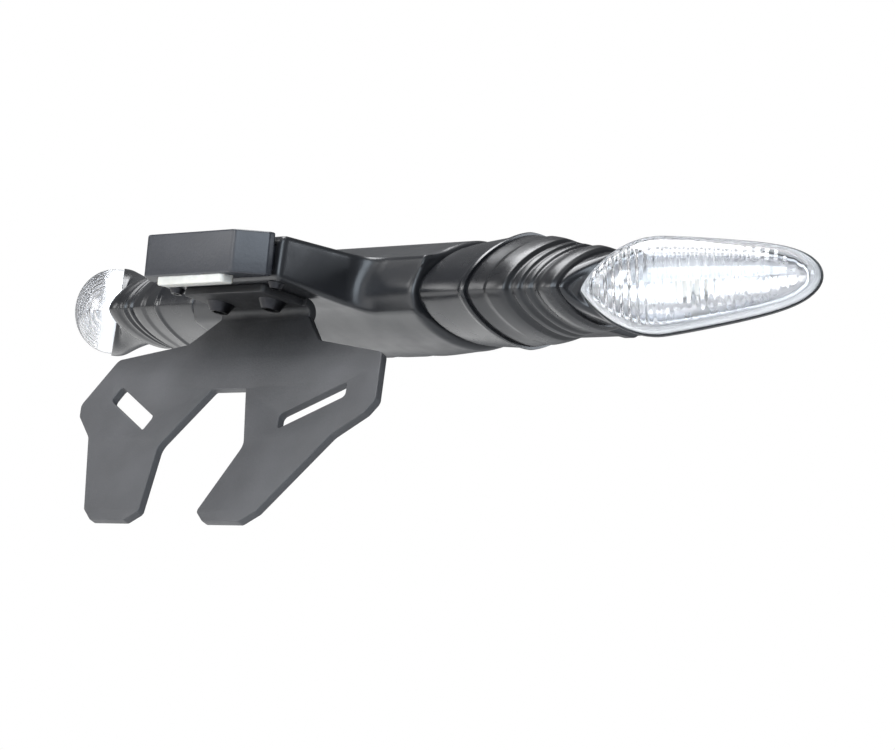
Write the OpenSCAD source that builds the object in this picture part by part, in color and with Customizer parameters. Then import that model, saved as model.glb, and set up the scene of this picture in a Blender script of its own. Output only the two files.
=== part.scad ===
// Tail tidy: a short number plate carrier with a light arm and a pair of indicators.
// The origin is the centre of the four tail bolts, on the top face of the mounting plate.
// +X is the right-hand side, +Y points forward and +Z up, square to the mounting face.

/* [Mounting plate] */
// Thickness of the mounting plate
plate_t = 4; // [3:0.5:6]
// Width of the mounting plate
plate_w = 76; // [70:1:84]
// Length of the mounting plate in front of the carrier's axis
plate_reach = 84; // [78:1:110]
// Tail bolt spacing across the plate
tail_pitch_x = 56; // [40:1:58]
// Tail bolt spacing along the plate
tail_pitch_y = 36; // [25:1:40]
// Diameter of the tail bolt holes, for M6
tail_hole_d = 6.6; // [5.5:0.1:9]
// Distance of the tail bolts' centre in front of the carrier's axis
tail_ahead = 56; // [54:1:60]
// Depth of the folded edges of the mounting plate
plate_lip = 7; // [6.5:0.5:10]

/* [Carrier body] */
// Width of the carrier across its two collar faces
carrier_w = 110; // [104:1:130]
// Fore and aft depth of the oval carrier
carrier_depth = 54.6; // [52:0.2:62]
// Height of the carrier above its axis
carrier_top = 16; // [15:0.5:18]
// Depth of the carrier below its axis at the collars
collar_low = 16.6; // [13.6:0.2:18]
// Depth of the carrier below its axis in the middle
belly_low = 17.6; // [17:0.2:22]
// Droop of the oval towards the rear, in degrees
droop = 10.3; // [6:0.1:12]
// Length over which the belly swells behind each collar
belly_run = 22; // [15:1:24]
// Wall of the carrier and of the arm
wall = 3; // [2:0.25:3.5]
// Thickness of the collar ends that clamp the indicator studs
collar_t = 4; // [3:0.5:6]

/* [Light arm] */
// Width of the arm
arm_w = 59; // [56:1:64]
// Distance of the arm's open end behind the carrier's axis
arm_reach = 56.8; // [50:0.2:75]
// Height of the arm's top face above the carrier's axis
arm_top = 6; // [4.5:0.5:7]
// Height of the arm at its open end
arm_h = 13.4; // [12:0.2:14]
// Fall of the arm's underside, in degrees
arm_fall = 4.9; // [3:0.1:5.5]
// Radius of the fillet between the arm's sides and the carrier
arm_fillet = 12; // [4:0.5:13]

/* [Nose cap] */
// Length of the nose cap
cap_len = 9.6; // [9:0.2:16]
// Gap between the nose cap and the arm
cap_gap = 2.6; // [1:0.1:3]
// Width of the nose cap's rear face
cap_face_w = 43.4; // [38:0.2:50]
// Height of the nose cap
cap_h = 12.8; // [12:0.1:13.5]
// Length of the cap's straight sides in front of its chamfers
cap_side = 2.2; // [1:0.1:3]
// Tilt of the nose cap, in degrees, with its rear edge down
cap_tilt = 3.3; // [0:0.1:4]
// Length of the cap's plug inside the arm
plug_len = 7; // [6:0.5:8]

/* [Number plate light] */
// Width of the light's lens
light_w = 33; // [30:0.5:39]
// Fore and aft depth of the light's lens
light_d = 5; // [4.5:0.5:8]
// Height by which the lens stands below the cap
light_drop = 2.5; // [1.5:0.5:4]

/* [Hanger] */
// Thickness of the hanger plate
hanger_t = 2.5; // [1.5:0.5:3]
// Tilt of the hanger from upright, in degrees, with its lower end to the rear
hanger_tilt = 21.4; // [10:0.2:30]
// Distance of the hanger's reference line behind the carrier's axis
hanger_back = 43.2; // [42:0.2:44]
// Depth of the hanger's reference line below the carrier's axis
hanger_drop = 27.6; // [27:0.2:32]
// Overall width of the hanger
hanger_w = 147; // [140:1:170]
// Length of the legs below the reference line
leg_len = 56; // [52:1:70]
// Width of the hanger's neck
neck_w = 44; // [40:1:48]
// Width of the hanger's top flange
flange_w = 40; // [36:0.5:41]
// Length of the hanger's top flange
flange_len = 15; // [13:0.5:15]
// Inner radius of the hanger's bend
bend_r = 2; // [1:0.5:3]
// Width of the number plate slots
slot_w = 5.4; // [5:0.2:7]
// Spacing of the hanger screws
hanger_pitch = 26; // [22:0.5:28]

/* [Indicators] */
// Length of each smooth stem base
base_len = 20.8; // [16:0.2:26]
// Length of each ribbed rubber boot
boot_len = 33.5; // [30:0.5:40]
// Length of the lens along its rim
lens_len = 68.5; // [60:0.5:80]
// Height of the lens
lens_h = 27.5; // [24:0.5:32]
// Bulge of the lens in front of its rim
lens_bulge = 12.5; // [9:0.5:15]
// Depth of the indicator housing behind the lens rim
housing_depth = 13; // [12:0.5:18]
// Sweep of the lens from square across, in degrees
lens_sweep = 33.7; // [26:0.1:38]
// Rise of the lens towards its outer tip, in degrees
lens_rise = 9.1; // [4:0.1:12]
// Wall of the lens
lens_wall = 2; // [1.5:0.1:2.5]

/* [Fasteners] */
// Thread diameter of the body and hanger screws
screw_d = 5; // [4:0.5:5]
// Thread diameter of the indicator studs
stud_d = 8; // [6:0.5:8.5]
// Diameter of the wire way through the indicator studs
stud_bore = 4.5; // [3:0.5:4.5]
// Bore of the cable grommet
grommet_bore = 6; // [5:0.5:7]

/* [Fits] */
// Radial clearance of the screws in their plain holes
screw_gap = 0.25; // [0.1:0.05:0.5]
// Radial clearance of the studs in the rubber and the collars
stud_gap = 0.1; // [0.05:0.05:0.2]
// Clearance of pieces that seat inside one another
seat_gap = 0.15; // [0.1:0.05:0.25]

/* [Hidden] */
SIDES = ["right", "left"];

round_fn = 48;
ring_n = 44;
eps = 0.02;

// Every piece is drawn about the carrier's axis and moved to the tail bolts by at_tail
plate_top = 8.6;
half_w = carrier_w / 2;
half_depth = carrier_depth / 2;
oval_drop = 0.8;

// Points of a drooping oval with its own height above and below its axis; nose 2 is round, less is pointed
function bend_pow(v, p) = sign(v) * pow(abs(v), p);
function oval(a, top, low, nose) = [
    for (i = [0 : ring_n - 1])
        let (
            t = 360 * (i + 0.5) / ring_n,
            u = a * bend_pow(cos(t), 2 / nose),
            w = (sin(t) > 0 ? top : low) * bend_pow(sin(t), 2 / nose)
        )
        [u * cos(droop) - w * sin(droop), u * sin(droop) + w * cos(droop) - oval_drop]
];
function ring_at(x, pts) = [for (p = pts) [x, p[0], p[1]]];
function smooth(t) = let (c = min(1, max(0, t))) c * c * (3 - 2 * c);

// Solid through a list of rings that all have the same number of points
module loft(rings) {
    n = len(rings[0]);
    m = len(rings);
    points = [for (r = rings) for (p = r) p];
    sides = [
        for (j = [0 : m - 2])
            for (i = [0 : n - 1])
                let (a = j * n + i, b = j * n + (i + 1) % n)
                for (f = [[a + n, b, a], [a + n, b + n, b]]) f
    ];
    first = [for (i = [0 : n - 1]) i];
    last = [for (i = [n - 1 : -1 : 0]) (m - 1) * n + i];
    polyhedron(points, concat(sides, [first, last]));
}

// Outline with its corners rounded to the radius in each point's third value
function unit(v) = v / norm(v);
function turn(a, b) = atan2(a[0] * b[1] - a[1] * b[0], a[0] * b[0] + a[1] * b[1]);
function corner(p, q, r, rad) =
    let (
        u = unit(p - q),
        v = unit(r - q),
        half = abs(turn(u, v)) / 2,
        reach = min(rad / tan(half), 0.49 * norm(p - q), 0.49 * norm(r - q)),
        rr = reach * tan(half),
        c = q + unit(u + v) * (rr / sin(half)),
        s = q + u * reach - c,
        sweep = turn(s, q + v * reach - c),
        steps = max(2, ceil(abs(sweep) / 15))
    )
    rad <= 0 ? [q] : [
        for (i = [0 : steps])
            let (a = sweep * i / steps)
            c + [s[0] * cos(a) - s[1] * sin(a), s[0] * sin(a) + s[1] * cos(a)]
    ];
function rounded(pts) = [
    for (i = [0 : len(pts) - 1])
        let (
            n = len(pts),
            p = pts[(i + n - 1) % n],
            q = pts[i],
            r = pts[(i + 1) % n]
        )
        for (c = corner([p[0], p[1]], [q[0], q[1]], [r[0], r[1]], q[2])) c
];

module at_tail() {
    translate([0, -tail_ahead, -plate_top]) children();
}

module on_side(name) {
    mirror([name == "left" ? 1 : 0, 0, 0]) at_tail() children();
}

// Solid of a profile in the YZ plane, centred on X
module across(width) {
    rotate([90, 0, 90]) linear_extrude(width, center = true) children();
}

// Carrier body
function belly(x) = collar_low + (belly_low - collar_low) * smooth((half_w - abs(x)) / belly_run);
swell_steps = 5;
collar_edge = 1.6;
collar_inset = 1.2;
carrier_nose = 1.72;
end_x = half_w - collar_t;
outer_x = [for (i = [0 : swell_steps]) half_w - collar_edge - (belly_run - collar_edge) * i / swell_steps];
inner_x = [for (i = [0 : swell_steps]) end_x - (belly_run - collar_t) * i / swell_steps];
function both_ends(xs) = concat([for (x = xs) -x], [for (i = [len(xs) - 1 : -1 : 0]) xs[i]]);
function carrier_ring(x, inset) = ring_at(x, oval(half_depth - inset, carrier_top - inset,
    belly(x) - inset, carrier_nose));
function edge_inset(x) = collar_inset * pow(max(0, (abs(x) - half_w) / collar_edge + 1), 2);
carrier_x = both_ends(concat([half_w, half_w - collar_edge / 2], outer_x));

arm_floor = arm_top - arm_h;
function arm_low(y) = arm_floor - (y + arm_reach) * tan(arm_fall);
arm_root = -half_depth / 2;
fillet_set = 1.5;

module arm_plan(inset, rear) {
    s = arm_w / 2 - inset;
    nose = -half_depth + fillet_set;
    arc = [
        for (i = [0 : 6])
            let (a = 90 * i / 6)
            [s + arm_fillet * (1 - cos(a)), nose - arm_fillet * (1 - sin(a))]
    ];
    right = concat([[s, rear]], arc, [[s + arm_fillet, arm_root]]);
    polygon(concat(right, [for (i = [len(right) - 1 : -1 : 0]) [-right[i][0], right[i][1]]]));
}

module arm_side(inset, rear) {
    polygon([
        [rear, arm_top - inset], [arm_root, arm_top - inset],
        [arm_root, arm_low(arm_root) + inset], [rear, arm_low(rear) + inset]
    ]);
}

module arm_outer() {
    intersection() {
        translate([0, 0, arm_low(0)]) linear_extrude(arm_top - arm_low(0)) arm_plan(0, -arm_reach);
        across(2 * half_w) arm_side(0, -arm_reach);
    }
}

module arm_channel() {
    across(arm_w - 2 * wall) arm_side(wall, -arm_reach - 1);
}

screw_edge = 7;
stud_room = 24;
body_screw_x = [14, min(plate_w / 2 - screw_edge, half_w - stud_room)];
body_screw_y = 6.5;
tongue_rear = -8;
screw_seat = -belly_low + 8;
screw_r = screw_d / 2;
head_ratio = 0.85;
head_r = head_ratio * screw_d;
boss_r = head_r + 2;
plate_low = plate_top - plate_t;
tongue_step = 0.6;
slot_gap = 0.4;

module body_screw_places() {
    for (side = [-1, 1])
        for (x = body_screw_x)
            translate([side * x, body_screw_y, 0]) children();
}

// The front wall is set back between the two collars, where the mounting plate runs forward
front_wall_y = 15;
recess_half = half_w - 11;
front_chord = pow(front_wall_y / (half_depth - wall), carrier_nose);
front_floor = front_wall_y * sin(droop) - oval_drop
    - (belly_low - wall) * pow(1 - front_chord, 1 / carrier_nose);
grommet_z = (plate_low - slot_gap + front_floor) / 2;
grommet_groove_r = grommet_bore / 2 + 1.4;
grommet_flange_r = grommet_groove_r + 1.4;

// Screw that runs along +Z from its seat, with a cylindrical head and a socket
module cap_screw(d, length) {
    difference() {
        union() {
            translate([0, 0, -d]) cylinder(r = head_ratio * d, h = d, $fn = round_fn);
            cylinder(r = d / 2, h = length, $fn = round_fn);
        }
        translate([0, 0, -d - 1]) cylinder(r = 0.46 * d, h = 1 + 0.5 * d, $fn = 6);
    }
}

// Low button-headed screw that runs along +Z from its seat
module button_screw(d, length) {
    dome_h = 0.55 * d;
    difference() {
        union() {
            translate([0, 0, -dome_h]) cylinder(r1 = dome_h, r2 = head_ratio * d, h = dome_h, $fn = round_fn);
            cylinder(r = d / 2, h = length, $fn = round_fn);
        }
        translate([0, 0, -d - 1]) cylinder(r = 0.36 * d, h = 1 + 0.75 * d, $fn = 6);
    }
}

module hex_nut(d, across_flats, height) {
    difference() {
        cylinder(r = across_flats / 2 / cos(30), h = height, $fn = 6);
        translate([0, 0, -1]) cylinder(r = d / 2 + eps, h = height + 2, $fn = round_fn);
    }
}

module carrier_body() {
    slot_half = plate_w / 2 + slot_gap;
    color("#1b1c1f") at_tail() difference() {
        union() {
            difference() {
                union() {
                    loft([for (x = carrier_x) carrier_ring(x, edge_inset(x))]);
                    arm_outer();
                }
                carrier_hollow();
                arm_channel();
                translate([-recess_half, front_wall_y, -2 * belly_low])
                    cube([2 * recess_half, half_depth, 4 * belly_low]);
            }
            intersection() {
                body_screw_places() translate([0, 0, -2 * belly_low])
                    cylinder(r = boss_r, h = plate_low + 2 * belly_low, $fn = round_fn);
                loft([for (x = both_ends(inner_x)) carrier_ring(x, wall / 2)]);
            }
        }
        translate([-slot_half, front_wall_y - wall - eps, plate_low - slot_gap])
            cube([2 * slot_half, half_depth, plate_t - tongue_step + 2 * slot_gap]);
        body_screw_places() {
            translate([0, 0, screw_seat - belly_low])
                cylinder(r = head_r + screw_gap, h = belly_low, $fn = round_fn);
            translate([0, 0, screw_seat - 1])
                cylinder(r = screw_r + screw_gap, h = plate_low - screw_seat + 2, $fn = round_fn);
        }
        for (side = [-1, 1])
            translate([side * half_w, 0, 0]) rotate([0, 90, 0])
                cylinder(r = stud_d / 2 + stud_gap, h = 4 * collar_t, center = true, $fn = round_fn);
        hanger_screw_places()
            cylinder(r = screw_r + screw_gap, h = 4 * wall, center = true, $fn = round_fn);
        cap_screw_places()
            cylinder(r = cap_screw_d / 2 + screw_gap, h = 4 * wall, center = true, $fn = round_fn);
        translate([0, front_wall_y, grommet_z]) rotate([90, 0, 0])
            cylinder(r = grommet_groove_r, h = 4 * wall, center = true, $fn = round_fn);
    }
}

// Space inside the carrier, behind its front wall
module carrier_hollow() {
    intersection() {
        loft([for (x = both_ends(inner_x)) carrier_ring(x, wall)]);
        translate([-half_w, front_wall_y - wall - 2 * half_depth, -2 * belly_low])
            cube([carrier_w, 2 * half_depth, 4 * belly_low]);
    }
}

module mounting_plate() {
    rear = tongue_rear;
    lip_rear = front_wall_y + 2;
    edge = plate_w / 2;
    corner_r = 8;
    color("#2a2c30") at_tail() difference() {
        union() {
            translate([0, 0, plate_low]) linear_extrude(plate_t) polygon(rounded([
                [-edge, rear, corner_r], [edge, rear, corner_r],
                [edge, plate_reach, corner_r], [-edge, plate_reach, corner_r]
            ]));
            for (side = [-1, 1])
                translate([side * (edge - plate_t / 2), (lip_rear + plate_reach - corner_r) / 2, 0])
                    rotate([90, 0, 90]) linear_extrude(plate_t, center = true)
                        lip_outline((plate_reach - corner_r - lip_rear) / 2);
        }
        translate([-edge, rear, plate_top - tongue_step]) cube([2 * edge, lip_rear - rear, plate_t]);
        translate([0, tail_ahead, plate_top])
            for (x = [-1, 1])
                for (y = [-1, 1])
                    translate([x * tail_pitch_x / 2, y * tail_pitch_y / 2, 0])
                        cylinder(r = tail_hole_d / 2, h = 4 * plate_t, center = true, $fn = round_fn);
        body_screw_places()
            cylinder(r = screw_r + eps, h = 4 * belly_low, center = true, $fn = round_fn);
    }
}

// Folded edge of the mounting plate, with its lower corners rounded
module lip_outline(half_len) {
    low = plate_top - plate_lip;
    polygon(rounded([
        [-half_len, plate_low + eps, 0], [-half_len, low, 6],
        [half_len, low, 6], [half_len, plate_low + eps, 0]
    ]));
}

module body_screws() {
    color("silver") at_tail() body_screw_places() translate([0, 0, screw_seat])
        cap_screw(screw_d, plate_top - tongue_step - screw_seat);
}

module cable_grommet() {
    flange_t = 1.5;
    color("#111214") at_tail() translate([0, front_wall_y - wall / 2, grommet_z])
        rotate([-90, 0, 0]) difference() {
            union() {
                cylinder(r = grommet_groove_r, h = wall, center = true, $fn = round_fn);
                for (side = [-1, 1])
                    translate([0, 0, side * (wall + flange_t) / 2])
                        cylinder(r = grommet_flange_r, h = flange_t, center = true, $fn = round_fn);
            }
            cylinder(r = grommet_bore / 2, h = 4 * wall, center = true, $fn = round_fn);
        }
}

// Nose cap, drawn in a frame with its origin at the front of its top face
cap_front = -arm_reach - cap_gap;
cap_screw_d = 3;
cap_screw_in = 3.5;
cap_screw_len = 5.5;
pocket_h = 6;
light_set = 0.9;

module at_cap() {
    translate([0, cap_front, arm_top]) rotate([cap_tilt, 0, 0]) children();
}

module cap_plan(front_w, rear_w, rear) {
    polygon([
        [-front_w / 2, 0], [-front_w / 2, -cap_side], [-rear_w / 2, rear],
        [rear_w / 2, rear], [front_w / 2, -cap_side], [front_w / 2, 0]
    ]);
}

module light_block(inset, height) {
    linear_extrude(height) polygon(rounded([
        [-light_w / 2 + inset, -cap_len + light_set + inset, 1.5],
        [light_w / 2 - inset, -cap_len + light_set + inset, 1.5],
        [light_w / 2 - inset, -cap_len + light_set + light_d - inset, 1.5],
        [-light_w / 2 + inset, -cap_len + light_set + light_d - inset, 1.5]
    ]));
}

plug_top = arm_top - wall - seat_gap;
plug_w = arm_w - 2 * wall - 2 * seat_gap;
plug_wall = 3;
plug_clear = hanger_pitch + 2 * screw_d;
cap_screw_x = (plug_w - plug_wall) / 2;
function plug_low(y) = arm_low(y) + wall + seat_gap;

module cap_plug() {
    rear = cap_front - cap_len / 4;
    front = -arm_reach + plug_len;
    across(plug_w) polygon([
        [rear, plug_top], [front, plug_top], [front, plug_low(front)],
        [-arm_reach, plug_low(-arm_reach)], [rear, plug_low(-arm_reach)]
    ]);
}

module cap_screw_places() {
    y = -arm_reach + cap_screw_in;
    for (side = [-1, 1])
        translate([side * cap_screw_x, y, arm_low(y)]) rotate([-arm_fall, 0, 0]) children();
}

module nose_cap() {
    color("#1e1f22") at_tail() difference() {
        union() {
            at_cap() translate([0, 0, -cap_h]) linear_extrude(cap_h)
                cap_plan(arm_w, cap_face_w, -cap_len);
            cap_plug();
        }
        at_cap() translate([0, 0, -cap_h - 1]) light_block(-seat_gap, 1 + pocket_h);
        across(plug_w - 2 * plug_wall) polygon([
            [cap_front - cap_len / 2, plug_top - 1.2], [0, plug_top - 1.2],
            [0, plug_low(-arm_reach) + 1.8], [cap_front - cap_len / 2, plug_low(-arm_reach) + 1.8]
        ]);
        across(plug_clear) polygon([
            [-arm_reach + 1, plug_top - 1.2], [0, plug_top - 1.2], [0, -cap_h], [-arm_reach + 1, -cap_h]
        ]);
        cap_screw_places() cylinder(r = cap_screw_d / 2 + eps, h = 2 * cap_h, center = true, $fn = round_fn);
    }
}

module cap_screws() {
    color("silver") at_tail() cap_screw_places() button_screw(cap_screw_d, cap_screw_len);
}

module plate_light_lens() {
    lens_t = 1.2;
    color("#efece2") at_tail() at_cap() translate([0, 0, -cap_h - light_drop]) difference() {
        light_block(0, light_drop + 3);
        translate([0, 0, lens_t]) light_block(lens_t, light_drop + 3);
    }
}

module plate_light_board() {
    board_t = 1.2;
    led = [3, 2, 1];
    color("#1f6a3a") at_tail() at_cap()
        translate([0, -cap_len + light_set + light_d / 2, -cap_h + 3 + board_t / 2]) {
            cube([light_w - 1, light_d - 1, board_t], center = true);
            for (i = [-1 : 1])
                translate([i * light_w / 3.5, 0, -(board_t + led[2]) / 2 + eps]) cube(led, center = true);
        }
}

// Hanger plate, with u across and v down its sloping face from the reference line
slope = [-sin(hanger_tilt), -cos(hanger_tilt)];
face_out = [-cos(hanger_tilt), sin(hanger_tilt)];
face_ref = [-hanger_back, -hanger_drop];
under_up = [sin(arm_fall), cos(arm_fall)];
under_ref = [-hanger_back, arm_low(-hanger_back)];
function cross_point(n1, d1, n2, d2) =
    let (det = n1[0] * n2[1] - n1[1] * n2[0])
    [(d1 * n2[1] - n1[1] * d2) / det, (n1[0] * d2 - d1 * n2[0]) / det];
bend_at = cross_point(face_out, face_out * face_ref + bend_r,
    under_up, under_up * under_ref - hanger_t - bend_r);
neck_v = (bend_at - face_out * bend_r - face_ref) * slope;
flange_gap = 1;
bend_run = 1;

function mirrored(right) = concat(right, [
    for (i = [len(right) - 1 : -1 : 0]) [-right[i][0], right[i][1], right[i][2]]
]);
half_hanger = hanger_w / 2;
leg_side = half_hanger - 12.5;
hanger_right = [
    [neck_w / 2, neck_v, 0],
    [neck_w / 2 + 3, neck_v + 2.5, 2],
    [neck_w / 2 + 10.5, -6, 3],
    [half_hanger - 7.7, -1.2, 3],
    [half_hanger + 0.4, 15.2, 2.5],
    [half_hanger - 2, 19.4, 2.5],
    [leg_side, 26.8, 5],
    [leg_side - 17.6, leg_len - 3.6, 1.5],
    [leg_side - 23.4, leg_len, 2],
    [leg_side - 41.2, leg_len, 2],
    [leg_side - 46.4, leg_len - 3.2, 1.5],
    [21.5, 30.2, 4],
    [8.4, 10.4, 1.5]
];
slot_out = [half_hanger - 18.4, 12.4];
slot_in = [half_hanger - 38.2, 21.1];

module number_plate_slot() {
    run = slot_in - slot_out;
    mid = (slot_in + slot_out) / 2;
    half_l = norm(run) / 2 + slot_w / 2;
    translate(mid) rotate(atan2(run[1], run[0])) polygon(rounded([
        [-half_l, -slot_w / 2, 1.2], [half_l, -slot_w / 2, 1.2],
        [half_l, slot_w / 2, 1.2], [-half_l, slot_w / 2, 1.2]
    ]));
}

// Sheet in the sloping plane: its outline is drawn with v downwards on +Y
module hanger_sheet() {
    translate([0, face_ref[0], face_ref[1]])
        multmatrix([
            [1, 0, 0, 0],
            [0, slope[0], -face_out[0], 0],
            [0, slope[1], -face_out[1], 0],
            [0, 0, 0, 1]
        ])
        linear_extrude(hanger_t) difference() {
            polygon(rounded(mirrored(hanger_right)));
            number_plate_slot();
            mirror([1, 0]) number_plate_slot();
        }
}

function arc_pts(c, r, a0, a1, steps) = [
    for (i = [0 : steps])
        let (a = a0 + (a1 - a0) * i / steps)
        c + r * [cos(a), sin(a)]
];

module hanger_fold() {
    up = 90 - arm_fall;
    down = -hanger_tilt;
    along = [-cos(arm_fall), sin(arm_fall)];
    outer = bend_at + (bend_r + hanger_t) * under_up;
    inner = bend_at + bend_r * under_up;
    across(neck_w) polygon(concat(
        [outer + bend_run * along],
        arc_pts(bend_at, bend_r + hanger_t, up, down, 10),
        [
            bend_at - (bend_r + hanger_t) * face_out + bend_run * slope,
            bend_at - bend_r * face_out + bend_run * slope
        ],
        arc_pts(bend_at, bend_r, down, up, 10),
        [inner + bend_run * along]
    ));
    difference() {
        across(flange_w)
            polygon([inner, outer, outer + flange_len * along, inner + flange_len * along]);
        cap_screw_places() cylinder(r = head_ratio * cap_screw_d + flange_gap, h = 6 * hanger_t,
            center = true, $fn = round_fn);
    }
}

module hanger_screw_places() {
    y = bend_at[0] - head_r - 1;
    for (side = [-1, 1])
        translate([side * hanger_pitch / 2, y, arm_low(y)]) rotate([-arm_fall, 0, 0]) children();
}

module hanger_plate() {
    color("#3a3b3e") at_tail() difference() {
        union() {
            hanger_sheet();
            hanger_fold();
        }
        hanger_screw_places()
            translate([0, 0, -2 * hanger_t])
                cylinder(r = screw_r + screw_gap, h = 4 * hanger_t, $fn = round_fn);
    }
}

nut_h = 4;

module hanger_screws() {
    color("silver") at_tail() hanger_screw_places() translate([0, 0, -hanger_t])
        button_screw(screw_d, hanger_t + wall + nut_h - 0.5);
}

module hanger_nuts() {
    color("silver") at_tail() hanger_screw_places() translate([0, 0, wall])
        hex_nut(screw_d, 1.6 * screw_d, nut_h);
}

// Indicator stem: its section swells to the end of the base and tapers along the boot
gasket_t = 1.2;
base_start = half_w + gasket_t;
base_end = base_start + base_len;
boot_end = base_end + boot_len;
stem_step = 1.3;
collar_half = half_depth - stem_step;
ridge_half = collar_half + 0.4;
tip_half = 20.7;
ridge_top = 17.7;
tip_top = 12;
ridge_low = 16.8;
tip_low = 11.9;
collar_nose = 1.68;
ridge_nose = 1.54;
function mix(a, b, k) = a + (b - a) * k;
function stem_ring(x, inset) =
    let (k = (x - half_w) / (base_end - half_w), m = (x - base_end) / boot_len)
    ring_at(x, x < base_end
        ? oval(mix(collar_half, ridge_half, k) - inset,
            mix(carrier_top - 1, ridge_top, k) - inset * 0.7,
            mix(collar_low - 1.6, ridge_low, k) - inset * 0.7, mix(collar_nose, ridge_nose, k))
        : oval(mix(ridge_half, tip_half, m) - inset,
            mix(ridge_top, tip_top, m) - inset * 0.7,
            mix(ridge_low, tip_low, m) - inset * 0.7, ridge_nose));

// Bore for the indicator stud
module stud_way(from, to) {
    translate([from - 1, 0, 0]) rotate([0, 90, 0])
        cylinder(r = stud_d / 2 + stud_gap, h = to - from + 2, $fn = round_fn);
}

module stem_gasket(side) {
    color("#0d0d0e") on_side(side) difference() {
        loft([stem_ring(half_w, 1.2), stem_ring(base_start, 1.2)]);
        stud_way(half_w, base_start);
    }
}

module stem_base(side) {
    lip = 1;
    color("#17181a") on_side(side) difference() {
        loft([
            stem_ring(base_start, 0.8), stem_ring(base_start + 0.8, 0.1),
            stem_ring(base_end - 3, 0.6), stem_ring(base_end - lip, 0),
            stem_ring(base_end, 0.4)
        ]);
        stud_way(base_start, base_end);
    }
}

// Boot ribs as pairs of place along the boot, from 0 to 1, and inset from the stem's line
boot_profile = [
    [0, 1.5], [0.04, 1.2], [0.2, 0.9], [0.27, 0.1], [0.36, 0], [0.44, 0.3], [0.48, 2],
    [0.515, 1.9], [0.545, 0.7], [0.585, 0.8], [0.615, 1.9], [0.645, 1.8], [0.68, 0.7],
    [0.71, 0.9], [0.735, 1.7], [0.77, 1.5], [0.84, 0.4], [0.9, 0], [0.96, 0.2], [1, 1.4]
];

module stem_boot(side) {
    color("#1a1a1b") on_side(side) difference() {
        loft([for (p = boot_profile) stem_ring(base_end + p[0] * boot_len, p[1])]);
        stud_way(base_end, boot_end);
    }
}

stud_in = 12;
stud_out = 5;

module stem_stud(side) {
    start = half_w - collar_t - stud_in;
    color("silver") on_side(side) translate([start, 0, 0]) rotate([0, 90, 0]) difference() {
        cylinder(r = stud_d / 2, h = boot_end + stud_out - start, $fn = round_fn);
        translate([0, 0, -1])
            cylinder(r = stud_bore / 2, h = boot_end + stud_out - start + 2, $fn = round_fn);
    }
}

washer_t = 1.6;
stud_nut_h = 6;

module stem_washer(side) {
    color("silver") on_side(side) translate([end_x - washer_t, 0, 0]) rotate([0, 90, 0]) difference() {
        cylinder(r = stud_d, h = washer_t, $fn = round_fn);
        translate([0, 0, -1])
            cylinder(r = stud_d / 2 + stud_gap, h = washer_t + 2, $fn = round_fn);
    }
}

module stem_nut(side) {
    color("silver") on_side(side) translate([end_x - washer_t - stud_nut_h, 0, 0]) rotate([0, 90, 0])
        hex_nut(stud_d, 1.6 * stud_d, stud_nut_h);
}

// Lens rim: a leaf that is pointed inwards and blunt at its outer tip, drawn along X with Z across
leaf_peak = 0.33;
function leaf(u) =
    u < leaf_peak
        ? pow(1 - pow(1 - u / leaf_peak, 2), 0.85)
        : let (k = (u - leaf_peak) / (1 - leaf_peak)) (1 - 0.46 * pow(k, 1.2)) * sqrt(1 - pow(k, 8));
lens_ahead = 4.6;
lens_up = 1.05;
lens_inset = 1;
lens_centre = [boot_end + lens_len / 2 - lens_inset, lens_ahead, lens_up];
leaf_n = 22;
arc_n = 10;
function leaf_u(i) = 0.5 - 0.5 * cos(180 * (i + 0.35) / (leaf_n + 0.7));

module at_lens() {
    translate(lens_centre) rotate([0, -lens_rise, lens_sweep]) children();
}

// Half of a leaf-shaped pebble: inset from the rim, and deep along the sign of depth
module leaf_dome(inset, depth, shift) {
    length = lens_len - 2 * inset;
    half_h = lens_h / 2 - inset;
    rings = [
        for (i = [0 : leaf_n])
            let (
                u = leaf_u(i),
                w = leaf(u)
            )
            [
                for (k = [0 : arc_n])
                    let (t = 180 * k / arc_n)
                    [length * (u - 0.5), shift - depth * pow(w, 0.75) * sin(t), half_h * w * cos(t)]
            ]
    ];
    if (depth > 0) loft(rings);
    else loft([for (r = rings) [for (k = [arc_n : -1 : 0]) r[k]]]);
}

module leaf_slab(inset, low, high) {
    length = lens_len - 2 * inset;
    half_h = lens_h / 2 - inset;
    up = [for (i = [0 : leaf_n]) [length * (leaf_u(i) - 0.5), half_h * leaf(leaf_u(i))]];
    down = [for (i = [leaf_n : -1 : 0]) [up[i][0], -up[i][1]]];
    translate([0, high, 0]) rotate([90, 0, 0]) linear_extrude(high - low) polygon(concat(down, up));
}

skirt = 1.8;
rim_lip = 0.6;
lip_h = 0.4;

// Bowl in the housing, with the reflector, the board and the lamp in it
bowl_depth = 7.2;
bowl_inset = 0.5;
bowl_gap = 0.4;
reflector_t = 1.2;
board_x = -4;
board_l = 18;
board_w = 9;
board_t = 1.4;
board_y = skirt + bowl_depth + 0.6;
lamp_r = 2.8;

module housing_form() {
    hull() {
        on_stem_end();
        at_lens() leaf_slab(-rim_lip, skirt - lip_h, skirt + 2);
        at_lens() leaf_slab(2, housing_depth * 0.6, housing_depth * 0.6 + 0.1);
        at_lens() leaf_slab(6, housing_depth * 0.9, housing_depth * 0.9 + 0.1);
        at_lens() leaf_slab(9, housing_depth - 0.1, housing_depth);
    }
}

module on_stem_end() {
    loft([stem_ring(boot_end, 2.2), stem_ring(boot_end + 0.6, 2.6)]);
}

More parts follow.
